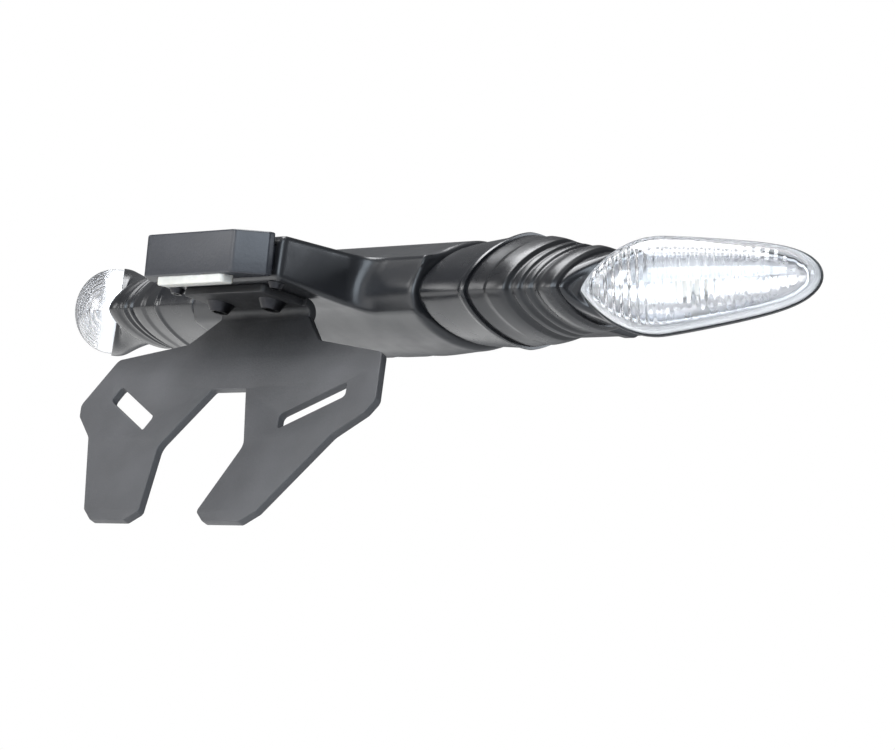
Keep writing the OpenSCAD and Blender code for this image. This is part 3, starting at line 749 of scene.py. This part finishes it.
def folded(run, out, start, radius, angle, thickness):
    """Where a point run along a sheet and out from its inner face goes when it is folded at start."""
    arc = angle * (radius + thickness / 2)
    if run <= start:
        return run, out
    share = min((run - start) / arc, 1)
    turn = share * angle
    rest = max(run - start - arc, 0)
    along = start + (radius + out) * math.sin(turn) + rest * math.cos(turn)
    return along, -radius + (radius + out) * math.cos(turn) - rest * math.sin(turn)


def fold_cuts(start, run, steps):
    return [start + run * k / steps for k in range(steps + 1)]


def sheet_piece(node, mesh, slot):
    dress(new_object(f"{node}_shape", mesh), slot, (node,), SHEET_SHARP_DEG)


def hanger_frame():
    """Direction down the hanger's face and out of it, its reference point and the neck's place on it."""
    slope = Vector((-math.sin(HANGER_TILT), -math.cos(HANGER_TILT)))
    face_out = Vector((-math.cos(HANGER_TILT), math.sin(HANGER_TILT)))
    under_up = Vector((math.sin(ARM_FALL), math.cos(ARM_FALL)))
    ref = Vector(HANGER_REF)
    under = Vector((HANGER_REF[0], arm_low(HANGER_REF[0])))
    both = Matrix((face_out, under_up))
    bend_at = both.inverted() @ Vector((
        face_out.dot(ref) + BEND_R, under_up.dot(under) - HANGER_T - BEND_R))
    neck_v = (bend_at - face_out * BEND_R - ref).dot(slope)
    return slope, face_out, ref, neck_v


def hanger_outline(top, neck_v):
    return mirror_outline([
        (FLANGE_W / 2, top - FLANGE_LEN, 1.5), (FLANGE_W / 2, top, 0), (NECK_W / 2, top, 0),
        (NECK_W / 2, neck_v, 0), (NECK_W / 2 + 3, neck_v + 2.5, 2), (NECK_W / 2 + 10.5, -6, 3),
        (HALF_HANGER - 7.7, -1.2, 3), (HALF_HANGER + 0.4, 15.2, 2.5), (HALF_HANGER - 2, 19.4, 2.5),
        (LEG_SIDE, 26.8, 5), (LEG_SIDE - 17.6, LEG_LEN - 3.6, 1.5), (LEG_SIDE - 23.4, LEG_LEN, 2),
        (LEG_SIDE - 41.2, LEG_LEN, 2), (LEG_SIDE - 46.4, LEG_LEN - 3.2, 1.5),
        (21.5, 30.2, 4), (8.4, 10.4, 1.5),
    ])


def number_plate_slot(sign):
    outer, inner = Vector(SLOT_OUT), Vector(SLOT_IN)
    run = inner - outer
    half_len, half_w = run.length / 2 + SLOT_W / 2, SLOT_W / 2
    box = [(-half_len, -half_w, SLOT_CORNER_R), (half_len, -half_w, SLOT_CORNER_R),
           (half_len, half_w, SLOT_CORNER_R), (-half_len, half_w, SLOT_CORNER_R)]
    angle = math.atan2(run.y, run.x)
    turned = [Matrix.Rotation(angle, 2) @ p + (outer + inner) / 2 for p in rounded(box)]
    return [(sign * p.x, p.y) for p in turned]


def make_hanger():
    edge_r, flat_margin = 0.35, 0.5
    slope, face_out, ref, neck_v = hanger_frame()
    fold_angle = math.pi / 2 + HANGER_TILT - ARM_FALL
    arc = fold_angle * (BEND_R + HANGER_T / 2)
    top = neck_v - arc
    slots = [number_plate_slot(sign) for sign in (1, -1)]
    mesh = blank(rounded(hanger_outline(top, neck_v)), slots, HANGER_T, edge_r)
    cut_across(mesh, 1, fold_cuts(neck_v, -arc, 12) + [top - flat_margin, neck_v + flat_margin])
    for vertex in mesh.vertices:
        u, v, out = vertex.co
        run, away = folded(-v, out, -neck_v, BEND_R, fold_angle, HANGER_T)
        spot = ref - slope * run - face_out * away
        vertex.co = to_part(u, spot.x, spot.y)
    sheet_piece("hanger_plate", mesh, "hanger_black")


def make_mounting_plate():
    """Plate with folded sides in front of the carrier, and a thinner tongue that runs into it."""
    edge, rear, lip_rear = PLATE_W / 2, TONGUE_REAR, FRONT_WALL_Y + 2
    corner_r, edge_r, step_run, near = 8.0, 0.3, 0.15, 0.05
    flat_half = edge - PLATE_T - PLATE_BEND_R
    arc = math.pi / 2 * (PLATE_BEND_R + PLATE_T / 2)
    lip = flat_half + arc + PLATE_LIP - PLATE_T - PLATE_BEND_R
    right = [
        (edge, rear, corner_r), (edge, lip_rear - 0.5, 0.4), (lip, lip_rear + 0.5, 3),
        (lip, PLATE_REACH - corner_r, 3), (flat_half, PLATE_REACH - corner_r, 0.3),
        (flat_half, PLATE_REACH, 2),
    ]
    holes = [circle(sx * TAIL_PITCH[0] / 2, TAIL_AHEAD + sy * TAIL_PITCH[1] / 2, TAIL_HOLE_D / 2)
             for sx in (-1, 1) for sy in (-1, 1)]
    mesh = blank(rounded(mirror_outline(right)), holes, PLATE_T, edge_r)
    cuts = fold_cuts(flat_half, arc, 8)
    cut_across(mesh, 0, cuts + [-c for c in cuts])
    cut_across(mesh, 1, [lip_rear - step_run, lip_rear])
    for vertex in mesh.vertices:
        x, y, out = vertex.co
        if y < lip_rear - step_run + near and out > PLATE_T / 2:
            out -= TONGUE_STEP
        run, away = abs(x), out
        if y > lip_rear - step_run - near:
            run, away = folded(run, out, flat_half, PLATE_BEND_R, math.pi / 2, PLATE_T)
        vertex.co = to_part(math.copysign(run, x), y, PLATE_TOP - PLATE_T + away)
    sheet_piece("mounting_plate", mesh, "bracket_black")


# Indicator stems: rings whose half chord, height and depth swell to the ridge and taper to the tip

COLLAR_HALF = HALF_DEPTH - STEM_STEP
COLLAR = (COLLAR_HALF, CARRIER_TOP - 1, COLLAR_LOW - 1.6)
RIDGE = (COLLAR_HALF + 0.4, 17.7, 16.8)
TIP = (20.7, 12.0, 11.9)
RING_POINTS = 144
UPRIGHT_INSET = 0.7

# Pairs of place along the piece, from 0 to 1, and inset from the stem's line
GASKET_PROFILE = [(0, 1.2), (0.5, 1.35), (1, 1.2)]
BASE_PROFILE = [(0, 0.8), (0.04, 0.1), (0.86, 0.6), (0.95, 0), (1, 0.4)]
BOOT_PROFILE = [
    (0, 1.5), (0.04, 1.2), (0.2, 0.9), (0.27, 0.1), (0.36, 0), (0.44, 0.3), (0.48, 2),
    (0.515, 1.9), (0.545, 0.7), (0.585, 0.8), (0.615, 1.9), (0.645, 1.8), (0.68, 0.7),
    (0.71, 0.9), (0.735, 1.7), (0.77, 1.5), (0.84, 0.4), (0.9, 0), (0.96, 0.2), (1, 1.4),
]


def signed_power(value, power):
    return math.copysign(abs(value) ** power, value)


def mix(a, b, share):
    return a + (b - a) * share


def stem_ring(x, inset):
    """Section of the stem: its sizes swell to the end of the base and taper along the boot."""
    if x < BASE_END:
        share = (x - HALF_W) / (BASE_END - HALF_W)
        sizes = [mix(a, b, share) for a, b in zip(COLLAR, RIDGE)]
        nose = mix(COLLAR_NOSE, RIDGE_NOSE, share)
    else:
        share = (x - BASE_END) / BOOT_LEN
        sizes = [mix(a, b, share) for a, b in zip(RIDGE, TIP)]
        nose = RIDGE_NOSE
    chord, top, low = sizes[0] - inset, sizes[1] - UPRIGHT_INSET * inset, sizes[2] - UPRIGHT_INSET * inset
    c, s = math.cos(DROOP), math.sin(DROOP)
    ring = []
    for i in range(RING_POINTS):
        t = 2 * math.pi * (i + 0.5) / RING_POINTS
        u = chord * signed_power(math.cos(t), 2 / nose)
        v = (top if math.sin(t) > 0 else low) * signed_power(math.sin(t), 2 / nose)
        ring.append((x, u * c - v * s, u * s + v * c - OVAL_DROP))
    return ring


def profile_at(profile, place):
    """Smooth curve through a list of (place, value) pairs that doesn't overshoot them."""
    slopes = [(vb - va) / (b - a) for (a, va), (b, vb) in zip(profile, profile[1:])]
    ends = [slopes[0]]
    ends += [2 * p * q / (p + q) if p * q > 0 else 0.0 for p, q in zip(slopes, slopes[1:])]
    ends.append(slopes[-1])
    for k, ((a, va), (b, vb)) in enumerate(zip(profile, profile[1:])):
        if place <= b:
            run = b - a
            t = (place - a) / run
            rise = (1 + 2 * t) * (1 - t) ** 2 * va + t * t * (3 - 2 * t) * vb
            return rise + run * (t * (1 - t) ** 2 * ends[k] - t * t * (1 - t) * ends[k + 1])
    return profile[-1][1]


def stem_part(name, start, length, profile, slot, steps):
    rings = []
    for k in range(steps + 1):
        share = k / steps
        rings.append(stem_ring(start + share * length, profile_at(profile, share) + FACET_DEPTH))
    points, faces = loft(rings)
    mirrored_pair(name, points, faces, slot, sharp_deg=50)


def make_stems():
    stem_part("stem_gasket", HALF_W, GASKET_T, GASKET_PROFILE, "rubber", steps=6)
    stem_part("stem_base", BASE_START, BASE_LEN, BASE_PROFILE, "stem_plastic", steps=60)
    stem_part("stem_boot", BASE_END, BOOT_LEN, BOOT_PROFILE, "boot_rubber", steps=150)


# Indicator heads: leaf-shaped rim in the XZ plane of its own frame, with -Y outwards

# Upright prisms inside the lens, and facets of the reflector
LENS_RIB_PITCH = 2.4
LENS_RIB_BOW = 0.012
FACET_PITCH = 3.2
FACET_RELIEF = 0.07

# Where the housing's loft starts on the stem and ends behind the lens's skirt
HOUSING_START_INSET = 2.2
HOUSING_END_SET = 0.3

# Insets and depths of the reflector's two sides
REFLECTOR_BACK = (LENS_WALL + 0.7, -6.8)
REFLECTOR_FRONT = (LENS_WALL + 1.6, -6.0)


def lens_point(s, depth, t):
    return tuple(LENS_CENTRE + LENS_TURN @ Vector((s, depth, t)))


def leaf(u):
    """Half-height of the lens along its length: pointed inwards, full at its peak, blunt outwards."""
    if u < LEAF_PEAK:
        return (1 - (1 - u / LEAF_PEAK) ** 2) ** 0.85
    k = (u - LEAF_PEAK) / (1 - LEAF_PEAK)
    return (1 - 0.46 * k ** 1.2) * math.sqrt(max(1 - k ** 8, 0))


def leaf_places(count):
    """Places along the lens from 0 to 1, closer together towards its tips."""
    return [0.5 - 0.5 * math.cos(math.pi * (i + 0.2) / (count - 0.6)) for i in range(count)]


def leaf_outline(inset, count):
    """Closed outline of the rim, from its inner tip over the top to the outer tip and back below."""
    length, half = LENS_LEN - 2 * inset, LENS_H / 2 - inset
    up = [(length * (u - 0.5), half * leaf(u)) for u in leaf_places(count)]
    return up + [(s, -t) for s, t in reversed(up)]


def rim_ring(inset, depth, count):
    return [lens_point(s, depth, t) for s, t in leaf_outline(inset, count)]


def dome_grid(inset, bulge, across, along, relief=None):
    """Rows of points over a leaf-shaped dome that bulges along -Y, each row from top to bottom."""
    length, half = LENS_LEN - 2 * inset, LENS_H / 2 - inset
    rows = []
    for u in leaf_places(along):
        width = leaf(u)
        row = []
        for k in range(across + 1):
            angle = math.pi * k / across
            s, t = length * (u - 0.5), half * width * math.cos(angle)
            rise = bulge * width ** 0.75 * math.sin(angle)
            if relief:
                rise += relief(s, t) * min(rise / 2, 1)
            row.append(lens_point(s, -rise, t))
        rows.append(row)
    return [p for row in rows for p in row]


def grid_faces(rows, per_row, first=0, flip=False):
    faces = []
    for j in range(rows - 1):
        for i in range(per_row - 1):
            a = first + j * per_row + i
            quad = (a, a + 1, a + per_row + 1, a + per_row)
            faces.append(quad[::-1] if flip else quad)
    return faces


def grid_edge(rows, per_row, first=0):
    """Loop round a dome's open edge, along the tops of its rows and back along their bottoms."""
    top = [first + j * per_row for j in range(rows)]
    return top + [first + j * per_row + per_row - 1 for j in reversed(range(rows))]


def lens_ribs(s, t):
    """Relief of the prisms, which weakens in two stages from the lens's inner tip outwards."""
    wave = abs(((s + LENS_RIB_BOW * t * t) / LENS_RIB_PITCH) % 1 - 0.5) * 2
    strength = 0.65 - 0.3 * ease((s + 16) / 10) - 0.2 * ease((s - 8) / 14)
    return float(strength * (wave - 0.5))


def reflector_facets(s, t):
    wave = math.cos(2 * math.pi * s / FACET_PITCH) * math.cos(2 * math.pi * t / FACET_PITCH)
    return -FACET_RELIEF * wave


def make_lenses():
    along, across = 300, 36
    per_row = across + 1
    outer = dome_grid(0, LENS_BULGE, across, along)
    inner = dome_grid(LENS_WALL, LENS_BULGE - LENS_WALL, across, along, lens_ribs)
    rims = [rim_ring(0, SKIRT, along), rim_ring(LENS_WALL, SKIRT, along)]
    points = outer + inner + rims[0] + rims[1]
    inner_first, rim_first, count = len(outer), len(outer) + len(inner), len(rims[0])
    faces = grid_faces(along, per_row) + grid_faces(along, per_row, inner_first, True)
    loops = [grid_edge(along, per_row), range(rim_first, rim_first + count),
             range(rim_first + count, rim_first + 2 * count), grid_edge(along, per_row, inner_first)]
    for a, b in zip(loops, loops[1:]):
        faces += join_loops(a, b)
    for first in (0, inner_first):
        for row in (0, along - 1):
            faces.append(tuple(first + row * per_row + k for k in range(per_row)))
    mirrored_pair("indicator_lens", points, faces, "clear_lens", sharp_deg=40)


def make_reflectors():
    along, across = 120, 30
    per_row = across + 1
    shift = LENS_TURN @ Vector((0, SKIRT, 0))
    back = dome_grid(*REFLECTOR_BACK, across, along)
    front = dome_grid(*REFLECTOR_FRONT, across, along, reflector_facets)
    points = [tuple(Vector(p) + shift) for p in back + front]
    faces = grid_faces(along, per_row) + grid_faces(along, per_row, len(back), True)
    faces += join_loops(grid_edge(along, per_row), grid_edge(along, per_row, len(back)))
    mirrored_pair("indicator_reflector", points, faces, "reflector_chrome", sharp_deg=30)


def make_housings():
    """Lofted shell from the end of the stem to the lens rim, with the rim's lip and the lens pocket."""
    steps, half_count = 40, RING_POINTS // 2
    stem_end = stem_ring(BOOT_END, HOUSING_START_INSET)
    start = [Vector(stem_end[(half_count - 1 - i) % RING_POINTS]) for i in range(RING_POINTS)]
    end = [Vector(p) for p in rim_ring(-RIM_LIP, SKIRT + HOUSING_END_SET, half_count)]
    out = LENS_TURN @ Vector((0, -1, 0))
    leave_share, arrive_share, longest_arrival = 0.9, 0.8, HOUSING_DEPTH * 1.6
    rings = []
    for k in range(steps + 1):
        t = k / steps
        ring = []
        for p, q in zip(start, end):
            reach = (q - p).length
            leave = Vector((1, 0, 0)) * reach * leave_share
            arrive = out * min(reach * arrive_share, longest_arrival)
            spot = ((2 * t ** 3 - 3 * t ** 2 + 1) * p + (t ** 3 - 2 * t ** 2 + t) * leave
                    + (3 * t ** 2 - 2 * t ** 3) * q + (t ** 3 - t ** 2) * arrive)
            ring.append(tuple(spot))
        rings.append(ring)
    lip, edge = SKIRT - LIP_H, 0.1
    # The lip round the lens, the pocket that the lens sits in and the floor behind it
    for inset, depth in (
        (-RIM_LIP, lip + edge), (-RIM_LIP + edge, lip), (-SEAT_GAP - edge, lip), (-SEAT_GAP, lip + edge),
        (-SEAT_GAP, SKIRT), (LENS_WALL, SKIRT), (LENS_WALL + 2, 6), (9, 8.5),
    ):
        rings.append(rim_ring(inset, depth, half_count))
    points, faces = loft(rings)
    mirrored_pair("indicator_housing", points, faces, "stem_plastic", sharp_deg=50)


# Grommet and the CAD pieces that keep their shape


def make_grommet():
    bore, groove, flange = 3.0, 4.4, 5.8
    half, end = WALL / 2, WALL / 2 + 1.5
    bore_edge, rim_edge = 0.4, 0.5
    front = [(groove, half), (flange, half), (flange, end - rim_edge), (flange - rim_edge, end),
             (bore + bore_edge, end), (bore, end - bore_edge)]
    profile = [(r, -y) for r, y in reversed(front)] + front
    lo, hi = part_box("cable_grommet")
    centre = ((Vector(lo) + Vector(hi)) / 2 - AXIS_PLACE) / MM
    steps = 64
    points = []
    for k in range(steps):
        a = 2 * math.pi * k / steps
        points += [(centre.x + r * math.cos(a), centre.y + y, centre.z + r * math.sin(a)) for r, y in profile]
    n = len(profile)
    faces = [(k * n + i, k * n + (i + 1) % n, (k + 1) % steps * n + (i + 1) % n, (k + 1) % steps * n + i)
             for k in range(steps) for i in range(n)]
    piece("cable_grommet_shape", points, faces, "rubber", ("cable_grommet",), sharp_deg=50)


KEPT_NODES = {
    "body_screws": "fastener_black",
    "cap_screws": "fastener_black",
    "hanger_screws": "fastener_black",
    "hanger_nuts": "fastener_steel",
    "plate_light_board": "circuit_board",
    "stem_stud": "fastener_steel",
    "stem_washer": "fastener_steel",
    "stem_nut": "fastener_steel",
    "indicator_board": "indicator_lamp",
}


def dress_kept_nodes():
    """Gives the CAD pieces that are shown as they are their materials, on both sides where there are two."""
    for name, slot in KEPT_NODES.items():
        for node in (name, f"{name}_right", f"{name}_left"):
            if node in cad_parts:
                for material_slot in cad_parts[node].material_slots:
                    material_slot.material = MATERIALS[slot]


# Stage, lights and camera

# Name, offset from the part's centre and size in metres, power in watts, and colour
LAMPS = [
    ("overhead", (-0.2, -0.25, 1.15), (1.3, 0.5), 20, (0.97, 0.98, 1)),
    ("rear_left", (-1.1, -1.2, 0.45), (0.5, 0.9), 7.5, (1, 1, 1)),
    ("rear_right", (0.85, -1.15, 0.35), (1.0, 0.8), 17, (0.8, 0.9, 1)),
    ("rear", (-0.2, -1.5, 0.25), (0.3, 0.8), 9, (1, 1, 1)),
    ("front_right", (1.1, 0.8, 0.3), (0.4, 0.5), 5, (0.86, 0.92, 1)),
    ("bounce", (-0.3, -0.1, -0.4), (1.4, 1.2), 4, (1, 0.995, 0.97)),
]

# The photograph's viewing angle, from about 1.3 m away and closer in than the photograph's frame
CAMERA_PLACE = Vector((1.07742, -0.86757, -0.21139))
CAMERA_UP = Vector((-0.0054, -0.17687, 0.98422))
CAMERA_AIM = Vector((-0.779656, 0.611637, 0.134301)).normalized()
CAMERA_LENS_MM = 181


def make_floor():
    half, drop = 3.0, -0.42
    mesh = bpy.data.meshes.new("floor")
    mesh.from_pydata([(-half, -half, drop), (half, -half, drop), (half, half, drop), (-half, half, drop)],
                     [], [(0, 1, 2, 3)])
    floor = new_object("floor", mesh)
    surface = Surface("floor")
    surface.put("Base Color", (0.86, 0.86, 0.86, 1))
    surface.put("Roughness", 0.9)
    mesh.materials.append(surface.mat)


def make_world():
    """Soft grey surroundings that are white behind the object, and nearly so through the lenses."""
    world = bpy.data.worlds.new("studio")
    bpy.context.scene.world = world
    world.use_nodes = True
    nodes, links = world.node_tree.nodes, world.node_tree.links
    soft = nodes["Background"]
    soft.inputs["Color"].default_value = (0.93, 0.96, 1, 1)
    soft.inputs["Strength"].default_value = 0.22
    white = nodes.new("ShaderNodeBackground")
    white.inputs["Color"].default_value = (1, 1, 1, 1)
    white.inputs["Strength"].default_value = 1.0
    path = nodes.new("ShaderNodeLightPath")
    through = nodes.new("ShaderNodeMath")
    through.operation = "MULTIPLY"
    links.new(path.outputs["Is Transmission Ray"], through.inputs[0])
    through.inputs[1].default_value = 0.75
    either = nodes.new("ShaderNodeMath")
    either.operation = "MAXIMUM"
    links.new(path.outputs["Is Camera Ray"], either.inputs[0])
    links.new(through.outputs["Value"], either.inputs[1])
    blend = nodes.new("ShaderNodeMixShader")
    links.new(either.outputs["Value"], blend.inputs["Fac"])
    links.new(soft.outputs["Background"], blend.inputs[1])
    links.new(white.outputs["Background"], blend.inputs[2])
    links.new(blend.outputs["Shader"], nodes["World Output"].inputs["Surface"])


def make_lamp(centre, name, offset, size, power, colour):
    """Rectangular lamp that points at the part's centre."""
    place = centre + Vector(offset)
    data = bpy.data.lights.new(name, "AREA")
    data.shape = "RECTANGLE"
    data.size, data.size_y = size
    data.energy = power
    data.color = colour
    lamp = new_object(name, data)
    lamp.location = place
    lamp.rotation_euler = (centre - place).to_track_quat("-Z", "Y").to_euler()


def make_camera():
    side = CAMERA_AIM.cross(CAMERA_UP).normalized()
    data = bpy.data.cameras.new("camera")
    data.sensor_width = 36
    data.lens = CAMERA_LENS_MM
    data.clip_start = 0.01
    camera = new_object("camera", data)
    turn = Matrix((side, side.cross(CAMERA_AIM), -CAMERA_AIM)).transposed()
    camera.matrix_world = Matrix.Translation(CAMERA_PLACE) @ turn.to_4x4()
    bpy.context.scene.camera = camera


def main():
    bpy.context.scene.view_settings.view_transform = "Standard"
    make_carrier()
    make_nose_cap()
    make_cap_plug()
    make_plate_light()
    make_hanger()
    make_mounting_plate()
    make_stems()
    make_housings()
    make_reflectors()
    make_lenses()
    make_grommet()
    dress_kept_nodes()
    lo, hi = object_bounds()
    centre = (Vector(lo) + Vector(hi)) / 2
    make_floor()
    make_world()
    for lamp in LAMPS:
        make_lamp(centre, *lamp)
    make_camera()


main()
